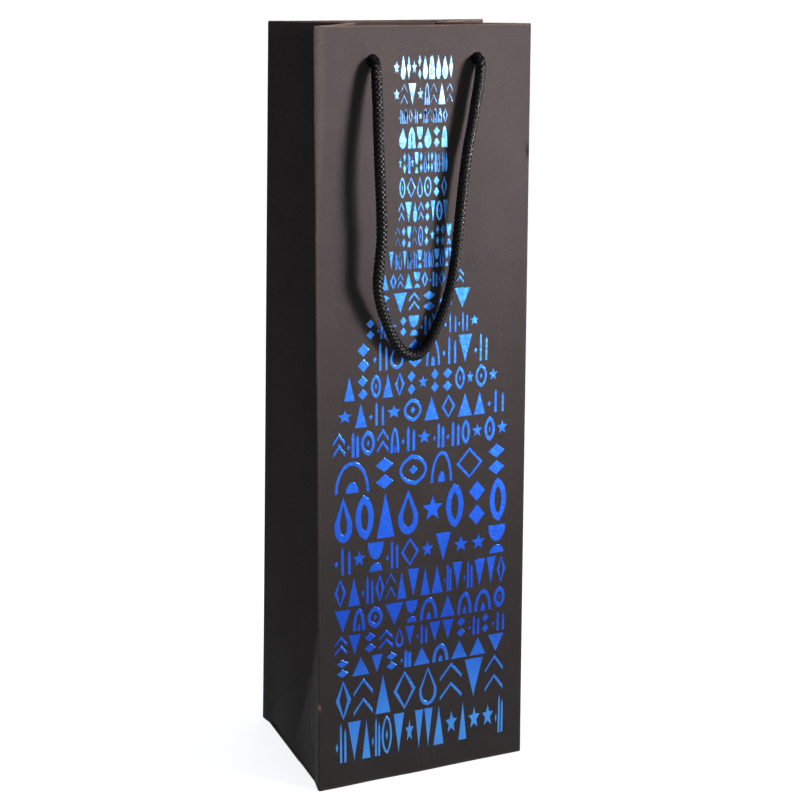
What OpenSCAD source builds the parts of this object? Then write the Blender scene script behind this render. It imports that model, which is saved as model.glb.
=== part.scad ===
// A bottle gift bag of coated black paper with two braided cord handles.
// +Z is up, the printed front faces -Y, and the origin is the middle of the base.

/* [Bag] */
// Height of the paper walls, measured along the paper
bag_h = 360; // [330:5:380]
// Width of the base
base_w = 109; // [100:1:125]
// Depth of the base
base_d = 88; // [84:1:96]
// Width of the mouth
mouth_w = 105; // [98:1:108]
// Depth of the half-closed mouth
mouth_d = 56; // [50:1:64]
// Thickness of the paper
paper_t = 0.4; // [0.3:0.05:0.5]
// Height of the edge that is turned in round the mouth
hem_h = 40; // [30:1:50]

/* [Card] */
// Thickness of the card strips inside the hem
card_t = 0.8; // [0.6:0.1:1.2]
// Thickness of the loose card on the bottom
base_card_t = 1; // [0.8:0.1:1.5]

/* [Handles] */
// Diameter of the braided cord
cord_d = 5; // [4:0.5:5]
// Diameter of the punched holes
hole_d = 6; // [6:0.5:7]
// Distance between the two holes of a wall
hole_spacing = 50; // [46:1:54]
// Distance of the holes below the top edge
hole_drop = 15; // [14:1:20]
// Diameter of the knots inside the bag
knot_d = 13; // [11:1:14]

/* [Print] */
// Height of the lowest edge of the foil print
print_low = 13; // [8:1:20]
// Gap between two rows of the foil print
row_gap = 1.5; // [1:0.5:3]
// Thickness of the foil
foil_t = 0.1; // [0.05:0.05:0.2]

/* [Hidden] */

mouth_run = base_d - mouth_d;
lean = asin(mouth_run / bag_h);
// How far the side folds are pushed in at the mouth: the paper keeps its width.
mouth_fold = sqrt(pow(base_d / 2, 2) - pow(mouth_d / 2, 2));
hem_stack = 2 * paper_t + card_t;
hole_h = bag_h - hole_drop;
// The fixed end of a cord stands this far outside the wall, where the swinging cord starts.
stub_out = 0.2;
flap_half_w = base_w / 2 - 1.3;
tuck_reach = 35;
seam_flap_w = 15;
wall_gap = 0.2;
floor_gap = 0.1;
wall_rings = 14;
hem_rings = 3;
hem_gap = 0.1;
cord_sides = 10;
cord_steps = 3;
paper = [0.16, 0.15, 0.15];
card = [0.55, 0.45, 0.36];
cord = [0.08, 0.08, 0.08];
foil = [0.15, 0.42, 0.9];

// Top edges of the 25 rows of the print, from the mouth down.
row_tops = [347, 335, 324, 316, 305, 294, 283, 272, 261, 251, 242, 231, 220,
    205, 192, 179, 165, 148, 124, 108, 92, 79, 67, 56, 34];
lip_rows = 2;
neck_half = 12;
lip_half = 14.5;
body_half = 45;
neck_low = 284;
shoulder_low = 168;

// Route of a handle, as [sideways, out from the wall, above the hole].
cord_route = [[-25, 1, 0], [-25, 3.5, -1], [-25.3, 5.3, -5], [-25.6, 7, -14], [-26, 9, -28],
    [-26, 10.5, -46], [-25.5, 11, -64], [-25.2, 10.5, -77], [-26.6, 9.5, -95], [-25, 8.2, -105],
    [-21.5, 7.2, -115], [-16.5, 6, -125], [-11.5, 5, -130.5], [-6, 4.6, -132], [-1, 4.6, -128.5],
    [4, 5, -119.5], [9, 5.6, -106.5], [11.8, 6.4, -93], [13.2, 7, -79], [15, 7, -62],
    [17.5, 6.4, -43], [20.5, 5.9, -28], [23, 5.6, -14], [24.6, 5, -5], [25, 3.5, -1], [25, 1, 0]];

function wall_half_w(h) = (base_w - (base_w - mouth_w) * h / bag_h) / 2;
// Depth of the bag, and how far a side fold is pushed in, at the share s of the height.
function depth_at(s) = base_d - mouth_run * s;
function fold_at(s) = mouth_fold * 4 * s / (3 * s + 1);
function smooth(t) = let (u = max(0, min(1, t))) u * u * (3 - 2 * u);
function bottle_half(z) = neck_half
    + (body_half - neck_half) * smooth((neck_low - z) / (neck_low - shoulder_low));
function row_half(i) = i < lip_rows ? lip_half : bottle_half(row_tops[i] - 6);
function row_low(i) = i == len(row_tops) - 1 ? print_low : row_tops[i + 1] + row_gap;

// Levels at which the gussets are drawn, as shares of the height, closer together near the base.
hem_low = 1 - hem_h / bag_h;
wall_levels = [for (i = [0:wall_rings - 1]) hem_low * pow(i / wall_rings, 1.5)];
hem_levels = [for (i = [0:hem_rings]) hem_low + (1 - hem_low) * i / hem_rings];

// A place on the left gusset: in from the wall by d and inward from its outer face by o.
function gusset_point(s, d, o, rear) = let (
        half = depth_at(s) / 2,
        slope = fold_at(s) / half,
        x = -wall_half_w(s * bag_h) + d * slope + o * sqrt(1 + slope * slope),
        y = rear ? base_d / 2 - mouth_run * s - d : d - base_d / 2,
        back_share = (y + base_d / 2) / depth_at(s))
    [x, y, bag_h * s * (1 - (1 - cos(lean)) * back_share)];

function gusset_ring(s, inset, outer, inner, rear) = let (
        half = depth_at(s) / 2,
        ring = [gusset_point(s, inset, outer, rear), gusset_point(s, half, outer, rear),
            gusset_point(s, half, inner, rear), gusset_point(s, inset, inner, rear)])
    rear ? [for (i = [3:-1:0]) ring[i]] : ring;

// Faces of a solid made of equal rings, one above the other. The two halves of a ring are cut
// along opposite diagonals, so that both faces of a twisted sheet bend the same way.
function ring_faces(rings, sides) = concat(
    [[for (i = [sides - 1:-1:0]) i]],
    [for (r = [0:rings - 2], i = [0:sides - 1], upper = [false, true])
        let (a = r * sides + i, b = r * sides + (i + 1) % sides, near = i < sides / 2)
        upper ? [near ? a : b, b + sides, a + sides] : [a, b, near ? b + sides : a + sides]],
    [[for (i = [0:sides - 1]) (rings - 1) * sides + i]]);

// A curve through four points, at the share t between the middle two.
function curve(a, b, c, d, t) = 0.5 * (2 * b + (c - a) * t
    + (2 * a - 5 * b + 4 * c - d) * t * t + (3 * b - a - 3 * c + d) * t * t * t);
function curved_route(p) = let (last = len(p) - 1) concat(
    [for (i = [0:last - 1], k = [0:cord_steps - 1])
        curve(p[max(i - 1, 0)], p[i], p[i + 1], p[min(i + 2, last)], k / cord_steps)],
    [p[last]]);
function unit(v) = v / norm(v);
function square_to(v, t) = unit(v - (v * t) * t);
// Direction of the route at each point. Both ends leave square to the wall.
function directions(p) = let (last = len(p) - 1)
    [for (i = [0:last]) i == 0 ? [0, -1, 0] : i == last ? [0, 1, 0] : unit(p[i + 1] - p[i - 1])];

module tube(route, diameter) {
    p = curved_route(route);
    t = directions(p);
    side = [for (i = 0, v = [1, 0, 0]; i < len(p);
        i = i + 1, v = i < len(p) ? square_to(v, t[i]) : v) v];
    points = [for (i = [0:len(p) - 1], k = [0:cord_sides - 1])
        let (a = -360 * k / cord_sides)
        p[i] + diameter / 2 * (cos(a) * side[i] + sin(a) * cross(t[i], side[i]))];
    polyhedron(points, ring_faces(len(p), cord_sides));
}

// Everything on a wall is drawn with the wall's outer face on y = 0 and the bag behind it.
module front_frame() {
    translate([0, -base_d / 2, 0]) children();
}

module back_frame() {
    translate([0, base_d / 2, 0]) rotate([lean, 0, 0]) rotate([0, 0, 180]) children();
}

module wall_plate(low, high, margin, inset, thickness) {
    translate([0, inset + thickness, 0]) rotate([90, 0, 0]) linear_extrude(thickness)
        polygon([[margin - wall_half_w(low), low], [wall_half_w(low) - margin, low],
            [wall_half_w(high) - margin, high], [margin - wall_half_w(high), high]]);
}

module cord_holes() {
    for (side = [-1, 1])
        translate([side * hole_spacing / 2, -1, hole_h]) rotate([-90, 0, 0])
            cylinder(h = hem_stack + 2, d = hole_d, $fn = 32);
}

module panel() {
    difference() {
        wall_plate(floor_gap, bag_h, 0, 0, paper_t);
        cord_holes();
    }
}

module hem() {
    difference() {
        union() {
            wall_plate(bag_h - hem_h, bag_h, 6, paper_t + card_t, paper_t);
            wall_plate(bag_h - paper_t, bag_h, 6, paper_t, card_t);
        }
        cord_holes();
    }
}

module handle_card() {
    difference() {
        wall_plate(bag_h - hem_h + 4, bag_h - paper_t, 7, paper_t, card_t);
        cord_holes();
    }
}

module foil_print() {
    for (i = [0:len(row_tops) - 1])
        translate([-row_half(i), -foil_t, row_low(i)])
            cube([2 * row_half(i), foil_t, row_tops[i] - row_low(i)]);
}

// The fixed end of a cord: it comes through the hole into a knot with a short tail.
module knot(side) {
    translate([side * hole_spacing / 2, 0, hole_h]) {
        difference() {
            translate([0, hem_stack + knot_d / 3, 0]) sphere(d = knot_d, $fn = 32);
            translate([-knot_d, hem_stack - knot_d, -knot_d]) cube([2 * knot_d, knot_d, 2 * knot_d]);
        }
        translate([0, -stub_out, 0]) rotate([-90, 0, 0])
            cylinder(h = hem_stack + knot_d / 3, d = cord_d, $fn = 32);
        translate([0, hem_stack + knot_d / 3, 0]) rotate([190, 0, 0])
            cylinder(h = 20, d = cord_d, $fn = 32);
    }
}

module handle_cord() {
    tube([for (p = cord_route) [p[0], -p[1], hole_h + p[2]]], cord_d);
}

module gusset_half(rear) {
    rings = [for (s = concat(wall_levels, hem_levels))
        gusset_ring(s, rear ? paper_t + wall_gap : paper_t, 0, paper_t, rear)];
    polyhedron([for (ring = rings, p = ring) p], ring_faces(len(rings), 4));
}

module gusset_hem_half(rear) {
    inner = paper_t + hem_gap;
    rings = [for (s = hem_levels) gusset_ring(s, hem_stack + 0.6, inner, inner + paper_t, rear)];
    polyhedron([for (ring = rings, p = ring) p], ring_faces(len(rings), 4));
}

module bottom_flap(low_y, high_y, level) {
    translate([-flap_half_w, low_y, level]) cube([2 * flap_half_w, high_y - low_y, paper_t]);
}

module bottom_tuck() {
    long_half = base_d / 2 - 1;
    short_half = long_half - tuck_reach;
    translate([0, 0, 2 * paper_t]) linear_extrude(paper_t)
        polygon([[-flap_half_w, -long_half], [tuck_reach - flap_half_w, -short_half],
            [tuck_reach - flap_half_w, short_half], [-flap_half_w, long_half]]);
}

module front_panel() {
    color(paper) front_frame() panel();
}

module back_panel() {
    color(paper) back_frame() panel();
}

module left_gusset_front_half() {
    color(paper) gusset_half(false);
}

module left_gusset_rear_half() {
    color(paper) gusset_half(true);
}

module right_gusset_front_half() {
    color(paper) mirror([1, 0, 0]) gusset_half(false);
}

module right_gusset_rear_half() {
    color(paper) mirror([1, 0, 0]) gusset_half(true);
}

module side_seam_flap() {
    outer = wall_half_w(bag_h) - 3.5;
    color(paper) back_frame() translate([outer - seam_flap_w, paper_t, floor_gap + 4])
        cube([seam_flap_w, paper_t, bag_h - hem_h - 6]);
}

module front_hem() {
    color(paper) front_frame() hem();
}

module back_hem() {
    color(paper) back_frame() hem();
}

module left_hem_front_half() {
    color(paper) gusset_hem_half(false);
}

module left_hem_rear_half() {
    color(paper) gusset_hem_half(true);
}

module right_hem_front_half() {
    color(paper) mirror([1, 0, 0]) gusset_hem_half(false);
}

module right_hem_rear_half() {
    color(paper) mirror([1, 0, 0]) gusset_hem_half(true);
}

module front_handle_card() {
    color(card) front_frame() handle_card();
}

module back_handle_card() {
    color(card) back_frame() handle_card();
}

module front_bottom_flap() {
    color(paper) bottom_flap(paper_t - base_d / 2, base_d / 8, paper_t);
}

module back_bottom_flap() {
    color(paper) bottom_flap(-base_d / 8, base_d / 2 - 0.6, 0);
}

module left_bottom_tuck() {
    color(paper) bottom_tuck();
}

module right_bottom_tuck() {
    color(paper) mirror([1, 0, 0]) bottom_tuck();
}

module base_card() {
    color(card) translate([2.5 - base_w / 2, 2 - base_d / 2, 3 * paper_t])
        cube([base_w - 5, base_d - 4, base_card_t]);
}

module front_foil_print() {
    color(foil) front_frame() foil_print();
}

module back_foil_print() {
    color(foil) back_frame() foil_print();
}

module front_handle_cord() {
    color(cord) front_frame() handle_cord();
}

module back_handle_cord() {
    color(cord) back_frame() handle_cord();
}

module front_left_knot() {
    color(cord) front_frame() knot(-1);
}

module front_right_knot() {
    color(cord) front_frame() knot(1);
}

module back_left_knot() {
    color(cord) back_frame() knot(1);
}

module back_right_knot() {
    color(cord) back_frame() knot(-1);
}

front_panel();
back_panel();
left_gusset_front_half();
left_gusset_rear_half();
right_gusset_front_half();
right_gusset_rear_half();
side_seam_flap();
front_hem();
back_hem();
left_hem_front_half();
left_hem_rear_half();
right_hem_front_half();
right_hem_rear_half();
front_handle_card();
back_handle_card();
front_bottom_flap();
back_bottom_flap();
left_bottom_tuck();
right_bottom_tuck();
base_card();
front_foil_print();
back_foil_print();
front_handle_cord();
back_handle_cord();
front_left_knot();
front_right_knot();
back_left_knot();
back_right_knot();
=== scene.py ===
"""The looks of a bottle gift bag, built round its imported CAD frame. Lengths are in metres."""

import math
import random

import bmesh
import bpy
import numpy as np
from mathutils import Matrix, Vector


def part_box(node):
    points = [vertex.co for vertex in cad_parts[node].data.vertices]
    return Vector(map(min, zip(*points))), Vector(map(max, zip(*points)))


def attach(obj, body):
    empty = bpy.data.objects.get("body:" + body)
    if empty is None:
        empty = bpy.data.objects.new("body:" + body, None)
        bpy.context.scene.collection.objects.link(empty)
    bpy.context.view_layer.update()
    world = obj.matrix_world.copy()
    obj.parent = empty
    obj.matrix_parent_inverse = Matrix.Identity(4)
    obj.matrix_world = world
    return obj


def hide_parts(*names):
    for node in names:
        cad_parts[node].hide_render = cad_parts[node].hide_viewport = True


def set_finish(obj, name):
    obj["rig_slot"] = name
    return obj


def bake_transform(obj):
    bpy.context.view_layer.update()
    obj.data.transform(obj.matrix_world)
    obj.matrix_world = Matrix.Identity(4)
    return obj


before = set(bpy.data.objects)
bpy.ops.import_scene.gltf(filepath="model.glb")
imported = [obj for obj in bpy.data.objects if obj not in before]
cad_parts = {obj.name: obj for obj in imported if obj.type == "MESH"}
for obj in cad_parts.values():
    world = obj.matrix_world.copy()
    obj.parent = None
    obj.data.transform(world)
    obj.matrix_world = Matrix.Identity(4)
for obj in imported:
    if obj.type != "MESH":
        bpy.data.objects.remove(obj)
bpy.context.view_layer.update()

MM = 0.001

# Sizes read from the frame.
front_low, front_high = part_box("front_panel")
back_low, back_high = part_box("back_panel")
strip_low, strip_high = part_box("front_handle_card")
base_low, base_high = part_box("base_card")
flap_low, flap_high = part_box("back_bottom_flap")
tuck_low, tuck_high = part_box("left_bottom_tuck")
knot_low, knot_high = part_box("front_left_knot")
PAPER = front_high.y - front_low.y
CARD = strip_high.y - strip_low.y
BAG_H = front_high.z
BASE_W = front_high.x - front_low.x
BASE_D = back_high.y - front_low.y
MOUTH_RUN = back_high.y - back_low.y - PAPER
MOUTH_NARROWER = 4 * MM
MOUTH_W = BASE_W - MOUTH_NARROWER
FRONT_Y = front_low.y
HOLE_X = -(knot_low.x + knot_high.x) / 2
LEAN = math.asin(MOUTH_RUN / BAG_H)

# Sizes that the frame doesn't give.
HOLE_H = BAG_H - 15 * MM
HOLE_R = 3 * MM
HEM_H = 40 * MM
CORD_D = 5 * MM
# The thickness of the cord in a knot.
KNOT_D = 0.86 * CORD_D
LAYER_GAP = 0.05 * MM
HEM_STACK = 2 * PAPER + CARD
# The top edge of the back wall stands this much nearer the front on the right, and further on the left.
TWIST = 5.75 * MM
# The paper of the back wall is a little longer, so that its edge shows above the front one.
BACK_EXTRA = 2 * MM
PRINT_LOW = 13 * MM
# The rows of the print: top edge, number of ornaments and width of a line, in millimetres.
ROWS = [(347, 10, 1.4), (335, 8, 0.6), (324, 10, 0.5), (316, 6, 1.6), (305, 13, 0.5), (294, 6, 0.7),
        (283, 8, 1.0), (272, 10, 0.6), (261, 15, 0.5), (251, 10, 0.9), (242, 6, 1.1), (231, 10, 0.9),
        (220, 8, 1.2), (205, 13, 1.2), (192, 10, 1.3), (179, 13, 1.5), (165, 6, 1.4), (148, 8, 2.8),
        (124, 10, 1.3), (108, 15, 1.2), (92, 10, 1.7), (79, 13, 1.3), (67, 10, 1.8), (56, 8, 1.5),
        (34, 15, 1.1)]
ROW_GAP = 1.5 * MM
PRINT_X = -1 * MM

# The route of a handle: sideways, out from the wall, above the hole, in millimetres.
CORD_ROUTE = [[-25, 1, 0], [-25, 3.5, -1], [-25.3, 5.3, -5], [-25.6, 7, -14], [-26, 9, -28],
              [-26, 10.5, -46], [-25.5, 11, -64], [-25.2, 10.5, -77], [-26.6, 9.5, -95], [-25, 8.2, -105],
              [-21.5, 7.2, -115], [-16.5, 6, -125], [-11.5, 5, -130.5], [-6, 4.6, -132], [-1, 4.6, -128.5],
              [4, 5, -119.5], [9, 5.6, -106.5], [11.8, 6.4, -93], [13.2, 7, -79], [15, 7, -62],
              [17.5, 6.4, -43], [20.5, 5.9, -28], [23, 5.6, -14], [24.6, 5, -5], [25, 3.5, -1], [25, 1, 0]]


def smooth(t):
    """A rise from 0 to 1 that is level at both ends."""
    t = np.clip(t, 0, 1)
    return t * t * (3 - 2 * t)


# Camera

CAMERA_AT = (-0.2893, -0.7052, 0.3839)
CAMERA_DOWN = math.radians(15.03)
CAMERA_TURN = math.radians(22.75)

camera = bpy.data.objects.new("camera", bpy.data.cameras.new("camera"))
camera.data.sensor_width = 36
camera.data.lens = 72.4
camera.location = CAMERA_AT
camera.rotation_euler = (math.pi / 2 - CAMERA_DOWN, 0, -CAMERA_TURN)
bpy.context.scene.collection.objects.link(camera)
bpy.context.scene.camera = camera


# Meshes

def build_mesh(name, points, faces, smooth_angle=40):
    mesh = bpy.data.meshes.new(name)
    mesh.from_pydata([tuple(p) for p in points], [], faces)
    work = bmesh.new()
    work.from_mesh(mesh)
    loose = [v for v in work.verts if not v.link_faces]
    bmesh.ops.delete(work, geom=loose, context="VERTS")
    bmesh.ops.recalc_face_normals(work, faces=work.faces)
    work.to_mesh(mesh)
    work.free()
    mesh.shade_smooth()
    mesh.set_sharp_from_angle(angle=math.radians(smooth_angle))
    thing = bpy.data.objects.new(name, mesh)
    bpy.context.scene.collection.objects.link(thing)
    return thing


# Braided cords

def curve_through(points, steps):
    """A smooth curve through the points."""
    p = np.array(points, float)
    p = np.vstack([p[:1], p, p[-1:]])
    t = np.arange(steps)[:, None] / steps
    pieces = [0.5 * (2 * b + (c - a) * t + (2 * a - 5 * b + 4 * c - d) * t ** 2
                     + (3 * b - a - 3 * c + d) * t ** 3) for a, b, c, d in zip(p, p[1:], p[2:], p[3:])]
    return np.vstack(pieces + [p[-1:]])


def even_steps(path, step):
    lengths = np.concatenate([[0], np.cumsum(np.linalg.norm(np.diff(path, axis=0), axis=1))])
    count = max(2, int(lengths[-1] / step))
    at = np.linspace(0, lengths[-1], count + 1)
    return np.stack([np.interp(at, lengths, path[:, k]) for k in range(3)], 1), at


def side_vectors(path):
    """Tangents, and two square directions that turn as little as possible."""
    tangent = np.gradient(path, axis=0)
    tangent /= np.linalg.norm(tangent, axis=1, keepdims=True)
    side = np.zeros_like(path)
    v = np.cross(tangent[0], [0.3, 0.2, 1])
    for i, t in enumerate(tangent):
        v = v - v.dot(t) * t
        v /= np.linalg.norm(v)
        side[i] = v
    return tangent, side, np.cross(tangent, side)


STRANDS = 5
STITCH = 1.1 * MM
SAMPLES = 4


def tube(centre, first, second, sides, offset=0):
    """Points and faces of a tube whose cross-section is given by two arrays of half axes."""
    angles = np.linspace(0, 2 * math.pi, sides, endpoint=False)
    turn = angles[:, None]
    rings = centre[:, None] + first[:, None] * np.cos(turn) + second[:, None] * np.sin(turn)
    n = len(centre)
    faces = [(offset + i * sides + k, offset + i * sides + (k + 1) % sides,
              offset + (i + 1) * sides + (k + 1) % sides, offset + (i + 1) * sides + k)
             for i in range(n - 1) for k in range(sides)]
    faces += [tuple(offset + k for k in reversed(range(sides))),
              tuple(offset + (n - 1) * sides + k for k in range(sides))]
    return list(rings.reshape(-1, 3)), faces


def braid(path, radius, flare=0.0):
    """Points and faces of a braided cord: five yarns each way round a core, each over one and under one."""
    line, along = even_steps(path, STITCH / SAMPLES)
    tangent, side, other = side_vectors(line)
    grow = 1 + flare * smooth((along - along[-1] + 6 * MM) / (6 * MM))[:, None]
    turn = 2 * math.pi * along / (2 * STRANDS * STITCH)
    weave = np.cos(math.pi * along / STITCH)[:, None]
    points, faces = tube(line, side * 0.55 * radius, other * 0.55 * radius, 8)
    for way in (-1, 1):
        for strand in range(STRANDS):
            angle = (way * turn + 2 * math.pi * strand / STRANDS)[:, None]
            outward = side * np.cos(angle) + other * np.sin(angle)
            centre = line + outward * radius * (0.7 + 0.13 * way * weave) * grow
            run = np.gradient(centre, axis=0)
            run /= np.linalg.norm(run, axis=1, keepdims=True)
            flat = np.cross(run, outward)
            more, more_faces = tube(centre, outward * 0.19 * radius, flat * 0.33 * radius, 6, len(points))
            points += more
            faces += more_faces
    return points, faces


def handle_point(side, p):
    """The place of a point that is given sideways, out from the wall and above the hole, in millimetres."""
    if side == "front":
        return np.array([p[0] * MM, FRONT_Y - p[1] * MM, HOLE_H + p[2] * MM])
    out, h = p[1] * MM, HOLE_H + p[2] * MM
    return np.array([-p[0] * MM, FRONT_Y + BASE_D - h * math.sin(LEAN) + out * math.cos(LEAN),
                     h * math.cos(LEAN) + out * math.sin(LEAN)])


def knot_path(centre, drop):
    """A tightened overhand knot with a hanging tail."""
    t = np.linspace(0.25, 2 * math.pi + 0.1, 60)
    across = np.sin(t) + 2 * np.sin(2 * t)
    above = np.cos(t) - 2 * np.cos(2 * t)
    loop = np.stack([across, -0.9 * np.sin(3 * t), above], 1) * 1.5 * MM
    tail_run = [0.5 * MM, drop * 2 * MM, -19 * MM]
    tail = loop[-1] + np.outer(np.linspace(0.1, 1, 8), tail_run)
    return np.vstack([loop, tail]) + centre


handle_bodies = {"front": ("bag", "front_handle"), "back": ("back_wall", "back_handle")}
for side, (wall_body, handle_body) in handle_bodies.items():
    drop = 1 if side == "front" else -1
    for x in (-1, 1):
        hand = "left" if x * drop < 0 else "right"
        inside = handle_point(side, (x * HOLE_X / MM, -HEM_STACK / MM - 4, 0))
        knot = build_mesh(f"{side}_{hand}_knot", *braid(knot_path(inside, drop), KNOT_D / 2, 0.25))
        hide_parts(f"{side}_{hand}_knot")
        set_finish(knot, "cord")
        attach(knot, wall_body)
    first_x = CORD_ROUTE[0][0]
    ends = [[first_x, -HEM_STACK / MM - 3, 0], [first_x, -0.5, 0]]
    route = ends + CORD_ROUTE + [[-p[0], p[1], p[2]] for p in reversed(ends)]
    path = curve_through([handle_point(side, p) for p in route], 8)
    cord = build_mesh(f"{side}_handle_cord", *braid(path, CORD_D / 2))
    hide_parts(f"{side}_handle_cord")
    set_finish(cord, "cord")
    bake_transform(cord)


# The walls' surfaces, as functions of the distance sideways and the height along the paper

def half_width(h):
    return (BASE_W - (BASE_W - MOUTH_W) * h / BAG_H) / 2


def ripple(a, b, size):
    """A gentle unevenness of paper, from a few crossing waves."""
    return size * (0.5 * np.sin(a / 0.011 + b / 0.031 + 1) + 0.3 * np.sin(a / 0.0068 - b / 0.022 + 2.3)
                   + 0.2 * np.sin(a / 0.023 + b / 0.0093 + 4))


def wall_bulge(x, h, seed):
    """How far a front or back wall stands out: its belly, its cross crease and a dent at one edge."""
    edge = smooth((half_width(h) - np.abs(x)) / (30 * MM))
    belly = 1.1 * MM * edge * np.sin(math.pi * np.clip(h / BAG_H, 0, 1)) ** 0.7
    crease = -0.12 * MM * np.exp(-(((h - BASE_D / 2) / (1.2 * MM)) ** 2))
    dent = -0.7 * MM * np.exp(-(((x - 50 * MM) / (4 * MM)) ** 2) - ((h - 303 * MM) / (3 * MM)) ** 2)
    stiff = 1 - 0.7 * smooth((h - BAG_H + HEM_H + 5 * MM) / (10 * MM))
    return belly + edge * (ripple(x + seed, h, 0.3 * MM) * stiff + crease) + dent


def front_point(x, h, out=0.0):
    y = FRONT_Y - wall_bulge(x, h, 0) - out
    return np.stack(np.broadcast_arrays(x, y, h), -1)


def back_point(x, h, out=0.0, bulge=True):
    share = h / BAG_H
    away = out + (wall_bulge(-x, h, 0.05) if bulge else 0)
    y = FRONT_Y + BASE_D - MOUTH_RUN * share - TWIST * share * x / half_width(h) + away * math.cos(LEAN)
    z = (h + BACK_EXTRA * share) * math.cos(LEAN) + away * math.sin(LEAN)
    return np.stack(np.broadcast_arrays(x, y, z), -1)


def gusset_corners(side, h):
    """The front, crease and back edges of a gusset. The paper's width sets how far in the crease is."""
    share = h / BAG_H
    mouth_depth = BASE_D - MOUTH_RUN - side * TWIST
    fold = math.sqrt(BASE_D ** 2 - mouth_depth ** 2) / 2 * 4 * share / (3 * share + 1)
    front = np.stack(np.broadcast_arrays(side * half_width(h), FRONT_Y, h), -1)
    back = back_point(side * half_width(h), h, bulge=False)
    crease = (front + back) / 2
    crease[..., 0] = side * (half_width(h) - fold)
    return front, crease, back


def gusset_bulge(along, h, side):
    """How far a gusset stands out from its flat halves. along runs from the front edge to the back edge."""
    from_edge = np.minimum(along, BASE_D - along)
    edge = smooth(from_edge / (10 * MM))
    bowed = -1.6 * MM * smooth(from_edge / (14 * MM)) * np.exp(-h / (45 * MM))
    diagonal = -0.45 * MM * np.exp(-(((h - from_edge) / (1.3 * MM)) ** 2))
    return bowed + diagonal * edge + edge * ripple(along + 0.1 * side, h, 0.45 * MM)


# Sheets

def sheet(name, grid, near, far, wrap=False, holes=(), wear=None):
    """A closed sheet between two distances behind a grid of points. Rows go up and columns go round."""
    rows, cols = grid.shape[:2]
    up = np.gradient(grid, axis=0)
    across = np.roll(grid, -1, 1) - np.roll(grid, 1, 1) if wrap else np.gradient(grid, axis=1)
    outward = np.cross(up, across)
    outward /= np.linalg.norm(outward, axis=2, keepdims=True)
    near, far = (np.broadcast_to(t, (rows, cols))[..., None] for t in (near, far))
    open_cells = set()
    rims = []
    grid = grid.copy()
    for centre in holes:
        away = np.linalg.norm(grid - centre, axis=2)
        r, c = np.unravel_index(np.argmin(away), away.shape)
        ring = ([(r - 2, c + k) for k in range(-2, 2)] + [(r + k, c + 2) for k in range(-2, 2)]
                + [(r + 2, c - k) for k in range(-2, 2)] + [(r - k, c - 2) for k in range(-2, 2)])
        open_cells |= {(i, j) for i in range(r - 2, r + 2) for j in range(c - 2, c + 2)}
        for i, j in ring:
            arm = grid[i, j] - centre
            arm -= arm.dot(outward[r, c]) * outward[r, c]
            grid[i, j] = centre + arm / np.linalg.norm(arm) * HOLE_R
        rims.append([i * cols + j for i, j in ring])
    points = np.concatenate([(grid - outward * t).reshape(-1, 3) for t in (near, far)])
    other = rows * cols
    faces = []
    for i in range(rows - 1):
        for j in range(cols if wrap else cols - 1):
            if (i, j) in open_cells:
                continue
            k = (j + 1) % cols
            a, b, c, d = i * cols + j, i * cols + k, (i + 1) * cols + k, (i + 1) * cols + j
            faces += [(a, b, c, d), (a + other, d + other, c + other, b + other)]
    edges = [[i * cols + j for j in range(cols)] + ([i * cols] if wrap else []) for i in (0, rows - 1)]
    if not wrap:
        edges += [[i * cols + j for i in range(rows)] for j in (0, cols - 1)]
    for line in edges + [rim + rim[:1] for rim in rims]:
        faces += [(a, b, b + other, a + other) for a, b in zip(line, line[1:])]
    thing = build_mesh(name, points, faces)
    if wear is not None:
        worn = np.broadcast_to(wear, (rows, cols)).reshape(-1)
        # build_mesh drops the points that no face uses and keeps the rest in order.
        used = sorted({v for f in faces for v in f})
        values = np.concatenate([worn, worn])[used]
        attribute = thing.data.attributes.new("wear", "FLOAT", "POINT")
        attribute.data.foreach_set("value", values.astype(np.float32))
    return thing


EDGE_ROUND = 1.3 * MM
CREASE_ROUND = 0.9 * MM
WALL_COLUMNS = 57
HALF_COLUMNS = 22
ROUND_COLUMNS = 5


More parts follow.
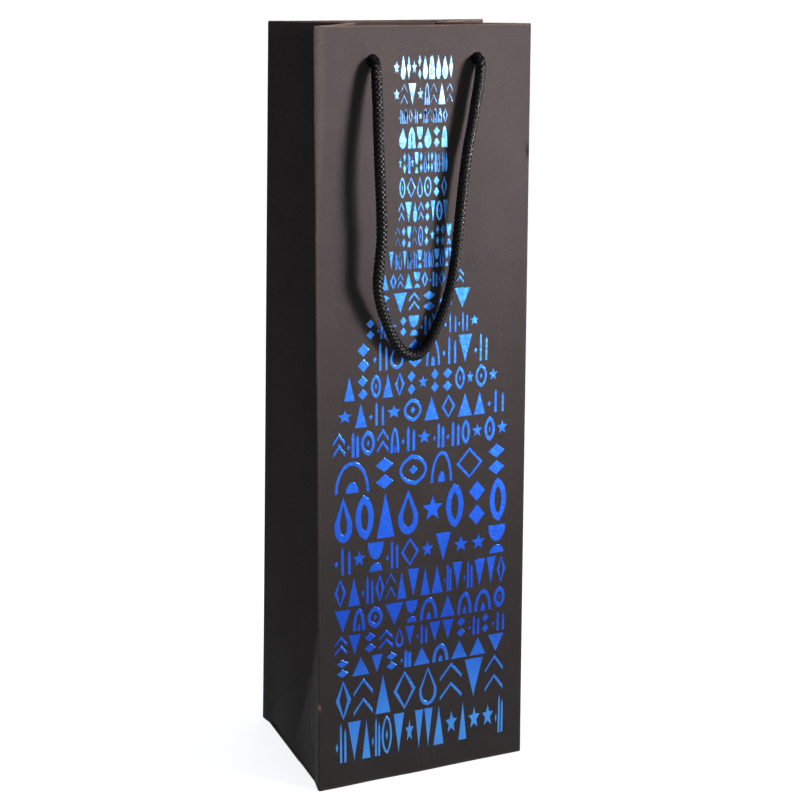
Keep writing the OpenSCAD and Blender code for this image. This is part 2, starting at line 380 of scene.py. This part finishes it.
def bag_grid(heights):
    """Points round the bag at each height, from the front left edge round the back, and their wear."""
    h = np.array(heights)[:, None]
    left, right = gusset_corners(-1, h[:, 0]), gusset_corners(1, h[:, 0])
    corners = [left[0], left[1], left[2], right[2], right[1], right[0]]
    worn_round = (1.3 + 1.5 * smooth(h / (180 * MM)) + 4 * smooth((h - 260 * MM) / (80 * MM))) * MM
    before = [worn_round, CREASE_ROUND, EDGE_ROUND, EDGE_ROUND, CREASE_ROUND, EDGE_ROUND]
    after = [EDGE_ROUND, CREASE_ROUND, EDGE_ROUND, EDGE_ROUND, CREASE_ROUND, EDGE_ROUND]
    counts = [HALF_COLUMNS, HALF_COLUMNS, WALL_COLUMNS, HALF_COLUMNS, HALF_COLUMNS, WALL_COLUMNS]
    blocks, wear = [], []
    for i, count in enumerate(counts):
        a, b, c = corners[i - 1], corners[i], corners[(i + 1) % 6]
        back = (a - b) / np.linalg.norm(a - b, axis=1, keepdims=True)
        ahead = (c - b) / np.linalg.norm(c - b, axis=1, keepdims=True)
        for t in np.arange(1, ROUND_COLUMNS) / ROUND_COLUMNS:
            corner = b + back * before[i] * (1 - t) ** 2 + ahead * after[i] * t ** 2
            if i in (1, 4):
                side = -1 if i == 1 else 1
                corner += [side, 0, 0] * gusset_bulge(BASE_D / 2, h, side)
            blocks.append(corner[:, None])
            wear.append(0.1)
        start, end = b + ahead * after[i], c - ahead * before[(i + 1) % 6]
        t = np.linspace(0, 1, count)[None, :, None]
        wall = start[:, None] * (1 - t) + end[:, None] * t
        outward = np.stack([-ahead[:, 1], ahead[:, 0], 0 * h[:, 0]], 1)[:, None]
        if i == 2:
            bulge = wall_bulge(-wall[..., 0], h, 0.05)
        elif i == 5:
            bulge = wall_bulge(wall[..., 0], h, 0)
        else:
            half = np.linalg.norm(wall - b[:, None], axis=2)
            along = half + (BASE_D / 2 if i in (1, 4) else 0)
            if i in (3, 4):
                along = BASE_D - along
            bulge = gusset_bulge(along, h, -1 if i < 2 else 1)
        blocks.append(wall + outward * bulge[..., None])
        wear += [0.0] * count
    grid = np.concatenate(blocks, 1)
    worn = np.broadcast_to(np.array(wear), grid.shape[:2]).copy()
    return grid, worn


hole_centres = {
    "front": [front_point(side * HOLE_X, HOLE_H) for side in (-1, 1)],
    "back": [back_point(side * HOLE_X, HOLE_H) for side in (-1, 1)],
}
all_holes = hole_centres["front"] + hole_centres["back"]


def bend_with_mouth(thing):
    """Bake the sheet's placement into its mesh."""
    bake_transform(thing)


edge_rows = np.array([0, 0.15, 0.4, 0.9]) * MM
top_rows = BAG_H - np.array([1.1, 0.8, 0.6, 0.5]) * MM
last_row = round(BAG_H / MM) - 1
wall_rows = np.concatenate([edge_rows, np.arange(2, last_row, 2) * MM, top_rows])
wall_grid, wall_wear = bag_grid(wall_rows)
rim_low = smooth(wall_rows / (0.5 * MM))
rim_high = smooth((BAG_H - 0.45 * MM - wall_rows) / (0.4 * MM))
rim = np.minimum(rim_low, rim_high)[:, None]
wall_wear = np.maximum(wall_wear, 0.45 * (1 - smooth(wall_rows / (1.2 * MM)))[:, None])
scuff = np.exp(-(((wall_rows - 44 * MM) / (1.2 * MM)) ** 2))[:, None]
wall_wear[:, :ROUND_COLUMNS - 1] += 2 * scuff
bag_sheet = sheet("bag_sheet", wall_grid, PAPER * 0.4 * (1 - rim), PAPER * (0.6 + 0.4 * rim), True,
                  all_holes, wall_wear)
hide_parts("front_panel", "back_panel", "left_gusset_front_half", "left_gusset_rear_half",
            "right_gusset_front_half", "right_gusset_rear_half")
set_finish(bag_sheet, "paper")
bend_with_mouth(bag_sheet)

# The edge turned in round the mouth: it rolls over the card strips and hides the paper's edge.
first_hem_row = round((BAG_H - HEM_H) / MM) + 2
hem_rows = np.concatenate([BAG_H - HEM_H + edge_rows, np.arange(first_hem_row, last_row, 2) * MM,
                           BAG_H - np.array([0.9, 0.7, 0.55, 0.4, 0.2, 0.08, 0]) * MM])
hem_grid, hem_wear = bag_grid(hem_rows)
over_card = smooth((half_width(BAG_H) - 6 * MM - np.abs(hem_grid[0, :, 0])) / (1.5 * MM))
column = np.arange(hem_grid.shape[1])
wall_size = WALL_COLUMNS + ROUND_COLUMNS - 1
half_size = HALF_COLUMNS + ROUND_COLUMNS - 1
on_back = (column >= 2 * half_size) & (column < 2 * half_size + wall_size)
on_front = column >= 4 * half_size + wall_size
under_hem = PAPER + LAYER_GAP + CARD * over_card * (on_back | on_front)
rolled = smooth((hem_rows - BAG_H + 0.9 * MM) / (0.4 * MM))[:, None]
pinch = smooth((hem_rows - BAG_H + 0.4 * MM) / (0.4 * MM))[:, None] * 0.42
hem_near = under_hem * (1 - rolled) + 0.02 * MM * rolled
hem_far = under_hem + PAPER
hem_near, hem_far = hem_near + pinch * (hem_far - hem_near), hem_far - pinch * (hem_far - hem_near)
hem_wear = np.maximum(hem_wear, 0.5 * rolled)
hem_sheet = sheet("turned_in_hem", hem_grid, hem_near, hem_far, True, all_holes, hem_wear)
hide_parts("front_hem", "back_hem", "left_hem_front_half", "left_hem_rear_half",
            "right_hem_front_half", "right_hem_rear_half")
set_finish(hem_sheet, "paper")
bend_with_mouth(hem_sheet)


def plate_on_wall(name, point, low, high, across, near, far, holes=()):
    """A flat strip behind a wall, from one height to another and across between two distances."""
    rows = np.linspace(low, high, max(3, int((high - low) / (2 * MM))))[:, None]
    cols = np.linspace(across[0], across[1], max(3, int(abs(across[1] - across[0]) / (2 * MM))))[None]
    return sheet(name, point(cols, rows), near, far, holes=holes, wear=0.3)


card_half = (strip_high.x - strip_low.x) / 2
for side, point, body in (("front", front_point, "bag"), ("back", back_point, "back_wall")):
    across = (card_half, -card_half) if side == "front" else (-card_half, card_half)
    strip = plate_on_wall(f"{side}_handle_card", point, BAG_H - HEM_H + 4 * MM, BAG_H - 1 * MM, across,
                          PAPER + LAYER_GAP, PAPER + CARD - LAYER_GAP, hole_centres[side])
    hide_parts(f"{side}_handle_card")
    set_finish(strip, "card")
    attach(strip, body)

seam_low, seam_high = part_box("side_seam_flap")
seam = plate_on_wall("side_seam_flap", back_point, 4 * MM, BAG_H - HEM_H - 2 * MM,
                     (seam_low.x, seam_high.x), PAPER + 0.02 * MM, 2 * PAPER)
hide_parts("side_seam_flap")
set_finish(seam, "paper")
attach(seam, "back_wall")


# The folded bottom

def flat_piece(name, low_y, high_y, edges, level, thickness, warp, slot_name):
    """A sheet lying flat. edges gives its two sides at a distance y."""
    y = np.linspace(low_y, high_y, max(8, int((high_y - low_y) / (3 * MM))))[:, None]
    t = np.linspace(0, 1, 30)[None]
    left, right = edges(y)
    x = left * (1 - t) + right * t
    z = level + warp * (1 + np.sin(x / 0.013 + y / 0.021)) / 2
    grid = np.stack(np.broadcast_arrays(x, y, z), -1)
    border = np.minimum(np.minimum(t, 1 - t) * 30, np.minimum(y - low_y, high_y - y) / (3 * MM))
    pinch = 0.3 * thickness * (1 - smooth(border * 2))
    piece = sheet(name, grid, pinch, thickness - pinch, wear=1 - smooth(border))
    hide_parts(name)
    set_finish(piece, slot_name)
    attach(piece, "bag")


front_flap_low, front_flap_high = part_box("front_bottom_flap")
straight = (flap_low.x, flap_high.x)
flat_piece("back_bottom_flap", flap_low.y, flap_high.y, lambda y: straight, 0, PAPER, 0.05 * MM, "paper")
flat_piece("front_bottom_flap", front_flap_low.y, front_flap_high.y, lambda y: straight, PAPER, PAPER,
           0.05 * MM, "paper")


def tuck_edges(side):
    outer = side * abs(tuck_low.x)
    reach = tuck_high.x - tuck_low.x

    def edges(y):
        inner = side * (abs(tuck_low.x) - np.minimum(reach, tuck_high.y + 0.5 * MM - np.abs(y)))
        return (outer, inner) if side < 0 else (inner, outer)
    return edges


for side, name in ((-1, "left_bottom_tuck"), (1, "right_bottom_tuck")):
    flat_piece(name, tuck_low.y, tuck_high.y, tuck_edges(side), 2 * PAPER, PAPER, 0, "paper")
base_sides = (base_low.x, base_high.x)
flat_piece("base_card", base_low.y, base_high.y, lambda y: base_sides, base_low.z,
           base_high.z - base_low.z, 0.4 * MM, "card")


# Foil print: rows of plain ornaments that together draw a bottle

def arc(cx, cy, rx, ry, start, end, steps=9):
    return [(cx + rx * math.cos(math.radians(start + (end - start) * i / steps)),
             cy + ry * math.sin(math.radians(start + (end - start) * i / steps))) for i in range(steps + 1)]


def ring(outline, u, v):
    """An outline and the size of the opening inside it, which is left out where there is no room."""
    return outline, (None if max(u, v) > 0.7 else (1 - u, 1 - v))


LOZENGE = [(0, 1), (1, 0), (0, -1), (-1, 0)]
LENS = arc(-1.2, 0, 2.2, 1.25, -53, 53)[:-1] + arc(1.2, 0, 2.2, 1.25, 127, 233)[:-1]
STAR = [(r * math.sin(math.pi * i / 5), 0.6 * r * math.cos(math.pi * i / 5))
        for i, r in enumerate([1, 0.45] * 5)]


def lozenges(width, height, *centres):
    """Solid lozenges of one size."""
    return [([(width * x + cx, height * y + cy) for x, y in LOZENGE], None) for cx, cy in centres]


def candle(x, u, shoulder, tip):
    half = u / 2
    return [(x - half, -1), (x + half, -1), (x + half, shoulder), (x, tip), (x - half, shoulder)], None


def chevron(c, v):
    low = c - 1.4 * v
    peak = c + 0.7
    return [(-1, c), (0, peak), (1, c), (1, low), (0, peak - 1.4 * v), (-1, low)], None


# Each ornament fills a square from -1 to 1. u and v are a line's width as a share of half the square.
ORNAMENTS = {
    "lozenge": lambda u, v: [ring(LOZENGE, 1.3 * u, 1.3 * v)],
    "seed": lambda u, v: [ring(LENS, u, 1.6 * v)] + lozenges(0.4 * (1 - u), 0.3, (0, 0)) * (u < 0.6),
    "gems": lambda u, v: lozenges(0.8, 0.47, (0, 0.53), (0, -0.53)),
    "candles": lambda u, v: [candle(c, u, 0.7 - c / 3, 1 - c / 3) for c in (0, 1 - u / 2)]
    + lozenges(0.25, 0.25, (-0.75, -0.2)),
    "chevrons": lambda u, v: [chevron(0.3, v), chevron(-0.9 + 1.4 * v, v)],
    "arch": lambda u, v: [(arc(0, -1, 1, 2, 0, 180) + arc(0, -1, 1 - u, 2 - 1.4 * v, 180, 0), None),
                          (arc(0, -1, 0.45 * (1 - u), 0.7, 0, 180), None)],
    "bowl": lambda u, v: [(arc(0, 1, 1, 1.2, 180, 360), None), (arc(0, -1, 0.8, 0.6, 0, 180), None)],
    "star": lambda u, v: [(STAR, None)],
    "drop": lambda u, v: [ring([(0, 1)] + arc(0, -0.3, 0.95, 0.7, 15, -195, 12), u, 1.4 * v)],
    "tent": lambda u, v: [([(-1, -1), (1, -1), (0, 1)], None)],
    "pennant": lambda u, v: [([(-1, 1), (1, 1), (0, -1)], None)],
}


def bottle_half(h):
    if h > ROWS[2][0] * MM:
        return 14.5 * MM
    return 12 * MM + 33 * MM * float(smooth((284 * MM - h) / (116 * MM)))


def in_short_steps(outline, step):
    """The outline with points added, so that it can follow a curved wall."""
    points = []
    for a, b in zip(outline, np.roll(outline, -1, 0)):
        count = max(1, math.ceil(np.linalg.norm(b - a) / step))
        points += [a + (b - a) * i / count for i in range(count)]
    return np.array(points)


def moved_in(outline, distance):
    """The outline with its sides moved towards its inside."""
    edge = np.roll(outline, -1, 0) - outline
    area = np.sum(outline[:, 0] * np.roll(outline[:, 1], -1) - outline[:, 1] * np.roll(outline[:, 0], -1))
    edge_length = np.linalg.norm(edge, axis=1, keepdims=True)
    normal = np.stack([-edge[:, 1], edge[:, 0]], 1) / edge_length * np.sign(area)
    before = np.roll(normal, 1, 0)
    corner = (normal + before) / np.maximum(0.4, 1 + np.sum(normal * before, 1, keepdims=True))
    return outline + corner * distance


# A foil ornament's bevel: how far in from its outline, and how far out from the paper.
FOIL_LEVELS = [(0, -0.02 * MM), (0.03 * MM, 0.05 * MM), (0.19 * MM, 0.14 * MM)]


def foil_print(name, point, seed, body, mirror):
    rng = random.Random(seed)
    points, faces = [], []
    kinds = sorted(ORNAMENTS)

    def walls(outline, way):
        """The bevelled side of an outline. Returns the points of its bottom and its top."""
        first, n = len(points), len(outline)
        for distance, out in FOIL_LEVELS:
            level = moved_in(outline, way * distance)
            points.extend(point((level[:, 0] + PRINT_X) * mirror, level[:, 1], out))
        for k in range(first, first + 2 * n):
            ahead = k + 1 if (k - first) % n < n - 1 else k + 1 - n
            faces.append((k, ahead, ahead + n, k + n))
        return list(range(first, first + n)), list(range(first + 2 * n, first + 3 * n))

    lows = [top * MM + ROW_GAP for top, _, _ in ROWS[1:]] + [PRINT_LOW]
    for (top, count, line), low in zip(ROWS, lows):
        high = top * MM
        half = bottle_half(high - 6 * MM)
        order = rng.sample(kinds, 5)
        shares = np.array([rng.choice((0.8, 1, 1, 1.2)) for _ in range(count)])
        ends = -half + 2 * half * np.concatenate([[0], np.cumsum(shares)]) / shares.sum()
        for i, (left, right) in enumerate(zip(ends, ends[1:])):
            size = np.array([(right - left) / 2 * 0.88, (high - low) / 2])
            centre = np.array([(left + right) / 2, (low + high) / 2])
            for outline, opening in ORNAMENTS[order[(i * i + i // 3) % 5]](*(line * MM / size)):
                outer = in_short_steps(np.array(outline) * size + centre, 5 * MM)
                bottom, top = walls(outer, 1)
                if opening is None:
                    faces.extend([tuple(top), tuple(reversed(bottom))])
                    continue
                inner_bottom, inner_top = walls(centre + (outer - centre) * opening, -1)
                for k, ahead in zip(range(len(outer)), list(range(1, len(outer))) + [0]):
                    faces.append((top[k], top[ahead], inner_top[ahead], inner_top[k]))
                    faces.append((bottom[ahead], bottom[k], inner_bottom[k], inner_bottom[ahead]))
    foil = build_mesh(name, points, faces, 20)
    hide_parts(name)
    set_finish(foil, "foil")
    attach(foil, body)


foil_print("front_foil_print", front_point, 5, "bag", 1)
foil_print("back_foil_print", back_point, 8, "back_wall", -1)


# Materials

def new_material(name, thing_list, build):
    material = bpy.data.materials.new(name)
    material.use_nodes = True
    build(material.node_tree.nodes, material.node_tree.links)
    for thing in thing_list:
        thing.data.materials.append(material)


def noise_of(nodes, links, scale, detail=4, stretch=(1, 1, 1), rough=0.6):
    place = nodes.new("ShaderNodeTexCoord")
    shape = nodes.new("ShaderNodeMapping")
    shape.inputs["Scale"].default_value = stretch
    texture = nodes.new("ShaderNodeTexNoise")
    texture.inputs["Scale"].default_value = scale
    texture.inputs["Detail"].default_value = detail
    texture.inputs["Roughness"].default_value = rough
    links.new(place.outputs["Object"], shape.inputs["Vector"])
    links.new(shape.outputs["Vector"], texture.inputs["Vector"])
    return texture.outputs["Fac"]


def mix_colour(nodes, links, share, first, second):
    """A mix of two colours, each a value or a socket."""
    mix = nodes.new("ShaderNodeMix")
    mix.data_type = "RGBA"
    links.new(share, mix.inputs["Factor"])
    for socket, colour in ((mix.inputs["A"], first), (mix.inputs["B"], second)):
        if isinstance(colour, tuple):
            socket.default_value = (*colour, 1)
        else:
            links.new(colour, socket)
    return mix.outputs["Result"]


def ranged(nodes, links, value, low, high, new_low, new_high):
    change = nodes.new("ShaderNodeMapRange")
    for name, number in (("From Min", low), ("From Max", high), ("To Min", new_low), ("To Max", new_high)):
        change.inputs[name].default_value = number
    links.new(value, change.inputs["Value"])
    return change.outputs["Result"]


def bump(nodes, links, value, depth, shader, strength=1.0):
    relief = nodes.new("ShaderNodeBump")
    relief.inputs["Distance"].default_value = depth
    relief.inputs["Strength"].default_value = strength
    links.new(value, relief.inputs["Height"])
    links.new(relief.outputs["Normal"], shader.inputs["Normal"])


def paper_look(dark, light, worn):
    def build(nodes, links):
        shader = nodes["Principled BSDF"]
        mottle = noise_of(nodes, links, 70, 5)
        fibre = noise_of(nodes, links, 1500, 3)
        shade = ranged(nodes, links, mottle, 0.3, 0.7, 0, 1)
        flat = mix_colour(nodes, links, shade, dark, light)
        fleck = ranged(nodes, links, fibre, 0.42, 0.72, 0, 0.6)
        flecked = mix_colour(nodes, links, fleck, flat, tuple(1.9 * c for c in light))
        wear = nodes.new("ShaderNodeAttribute")
        wear.attribute_name = "wear"
        rough_wear = nodes.new("ShaderNodeMath")
        rough_wear.operation = "MULTIPLY"
        links.new(wear.outputs["Fac"], rough_wear.inputs[0])
        links.new(ranged(nodes, links, fibre, 0.35, 0.6, 0.25, 0.9), rough_wear.inputs[1])
        colour = mix_colour(nodes, links, rough_wear.outputs["Value"], flecked, worn)
        links.new(colour, shader.inputs["Base Color"])
        links.new(ranged(nodes, links, fibre, 0.3, 0.7, 0.6, 0.75), shader.inputs["Roughness"])
        shader.inputs["Specular IOR Level"].default_value = 0.05
        bump(nodes, links, fibre, 0.05 * MM, shader, 0.5)
    return build


def cord_look(nodes, links):
    shader = nodes["Principled BSDF"]
    fuzz = noise_of(nodes, links, 1800, 2)
    shade = ranged(nodes, links, fuzz, 0.4, 0.7, 0, 1)
    colour = mix_colour(nodes, links, shade, (0.001, 0.001, 0.0011), (0.0035, 0.0036, 0.0039))
    links.new(colour, shader.inputs["Base Color"])
    shader.inputs["Roughness"].default_value = 0.34
    shader.inputs["Specular IOR Level"].default_value = 0.1
    bump(nodes, links, fuzz, 0.05 * MM, shader, 0.3)


def foil_look(nodes, links):
    shader = nodes["Principled BSDF"]
    grain = noise_of(nodes, links, 420, 3)
    cloud = noise_of(nodes, links, 45, 3)
    # The base colour changes with height: the foil's own blue, with painted reflections of the softbox at
    # the top rows and of the floor at the lowest rows, so it is deepest about 75 mm up.
    place = nodes.new("ShaderNodeTexCoord")
    split = nodes.new("ShaderNodeSeparateXYZ")
    links.new(place.outputs["Object"], split.inputs["Vector"])
    height = ranged(nodes, links, split.outputs["Z"], 0.02, 0.34, 0, 1)
    ramp = nodes.new("ShaderNodeValToRGB")
    blue_and_painted_reflections = [(0.0, (0.05, 0.24, 0.6)), (0.11, (0.02, 0.12, 0.48)), (0.17, (0.007, 0.045, 0.36)),
             (0.38, (0.012, 0.09, 0.56)), (0.7, (0.04, 0.22, 0.66)), (0.88, (0.09, 0.36, 0.8)),
             (1.0, (0.25, 0.55, 0.88))]
    ramp.color_ramp.elements[0].position = blue_and_painted_reflections[0][0]
    ramp.color_ramp.elements[0].color = (*blue_and_painted_reflections[0][1], 1)
    ramp.color_ramp.elements[1].position = blue_and_painted_reflections[-1][0]
    ramp.color_ramp.elements[1].color = (*blue_and_painted_reflections[-1][1], 1)
    for position, colour in blue_and_painted_reflections[1:-1]:
        ramp.color_ramp.elements.new(position).color = (*colour, 1)
    links.new(height, ramp.inputs["Fac"])
    shade = ranged(nodes, links, cloud, 0.35, 0.65, 0, 0.3)
    colour = mix_colour(nodes, links, shade, ramp.outputs["Color"], (0.01, 0.06, 0.4))
    links.new(colour, shader.inputs["Base Color"])
    shader.inputs["Metallic"].default_value = 0.85
    links.new(ranged(nodes, links, grain, 0.3, 0.7, 0.2, 0.36), shader.inputs["Roughness"])
    bump(nodes, links, grain, 0.35 * MM, shader, 0.6)


def card_look(nodes, links):
    shader = nodes["Principled BSDF"]
    fibre = noise_of(nodes, links, 500, 4, (1, 0.4, 1))
    shade = ranged(nodes, links, fibre, 0.35, 0.7, 0, 1)
    colour = mix_colour(nodes, links, shade, (0.2, 0.15, 0.11), (0.34, 0.27, 0.2))
    links.new(colour, shader.inputs["Base Color"])
    shader.inputs["Roughness"].default_value = 0.85
    bump(nodes, links, fibre, 0.1 * MM, shader, 0.5)


def floor_look(nodes, links):
    shader = nodes["Principled BSDF"]
    grain = noise_of(nodes, links, 12, 2)
    shade = ranged(nodes, links, grain, 0.3, 0.7, 0, 1)
    colour = mix_colour(nodes, links, shade, (0.86, 0.86, 0.87), (0.88, 0.88, 0.89))
    links.new(colour, shader.inputs["Base Color"])
    shader.inputs["Roughness"].default_value = 0.9
    shader.inputs["Specular IOR Level"].default_value = 0.05
    shader.inputs["Emission Color"].default_value = (0.96, 0.98, 1, 1)
    shader.inputs["Emission Strength"].default_value = 0.72


shown = [o for o in bpy.context.scene.objects if o.type == "MESH" and not o.hide_render]
by_slot = {name: [o for o in shown if o.get("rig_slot") == name]
           for name in ("paper", "card", "foil", "cord")}
new_material("black_paper", by_slot["paper"],
             paper_look((0.0135, 0.0118, 0.0122), (0.0172, 0.0151, 0.0154), (0.12, 0.09, 0.075)))
new_material("grey_card", by_slot["card"], card_look)
new_material("blue_foil", by_slot["foil"], foil_look)
new_material("black_cord", by_slot["cord"], cord_look)


# Floor and light

work = bmesh.new()
bmesh.ops.create_grid(work, x_segments=20, y_segments=20, size=80)
floor_mesh = bpy.data.meshes.new("floor")
work.to_mesh(floor_mesh)
work.free()
floor = bpy.data.objects.new("floor", floor_mesh)
bpy.context.scene.collection.objects.link(floor)
new_material("pale_floor", [floor], floor_look)


def lamp(name, kind, energy, at, towards, **settings):
    light = bpy.data.lights.new(name, kind)
    light.energy = energy
    for key, value in settings.items():
        setattr(light, key, value)
    thing = bpy.data.objects.new(name, light)
    thing.location = at
    aim = np.array(towards, float) - np.array(at, float)
    tilt = math.acos(-aim[2] / np.linalg.norm(aim))
    thing.rotation_euler = (tilt, 0, math.atan2(aim[0], -aim[1]) + math.pi)
    bpy.context.scene.collection.objects.link(thing)


lamp("overhead", "SUN", 1.0, (0, 0, 3), (0, 0.02, 0), angle=math.radians(50))
lamp("high_softbox", "AREA", 2.75, (1.05, -1.05, 0.6), (0, -0.04, 0.355), shape="RECTANGLE", size=0.45,
     size_y=0.24, spread=math.radians(18), color=(1, 0.87, 0.84))
lamp("low_softbox", "AREA", 1.7, (1.05, -1.05, 0.2), (0, -0.04, 0.05), shape="RECTANGLE", size=0.45,
     size_y=0.3, spread=math.radians(45), color=(1, 0.92, 0.9))

world = bpy.data.worlds.new("studio")
world.use_nodes = True
# Faint as light, but white where it is seen beyond the floor.
sky_nodes, sky_links = world.node_tree.nodes, world.node_tree.links
sky = sky_nodes["Background"]
sky.inputs["Color"].default_value = (0.85, 0.88, 1, 1)
seen = sky_nodes.new("ShaderNodeLightPath").outputs["Is Camera Ray"]
sky_links.new(ranged(sky_nodes, sky_links, seen, 0, 1, 0.12, 1.3), sky.inputs["Strength"])
bpy.context.scene.world = world
bpy.context.scene.view_settings.view_transform = "Standard"
bpy.context.scene.view_settings.look = "None"
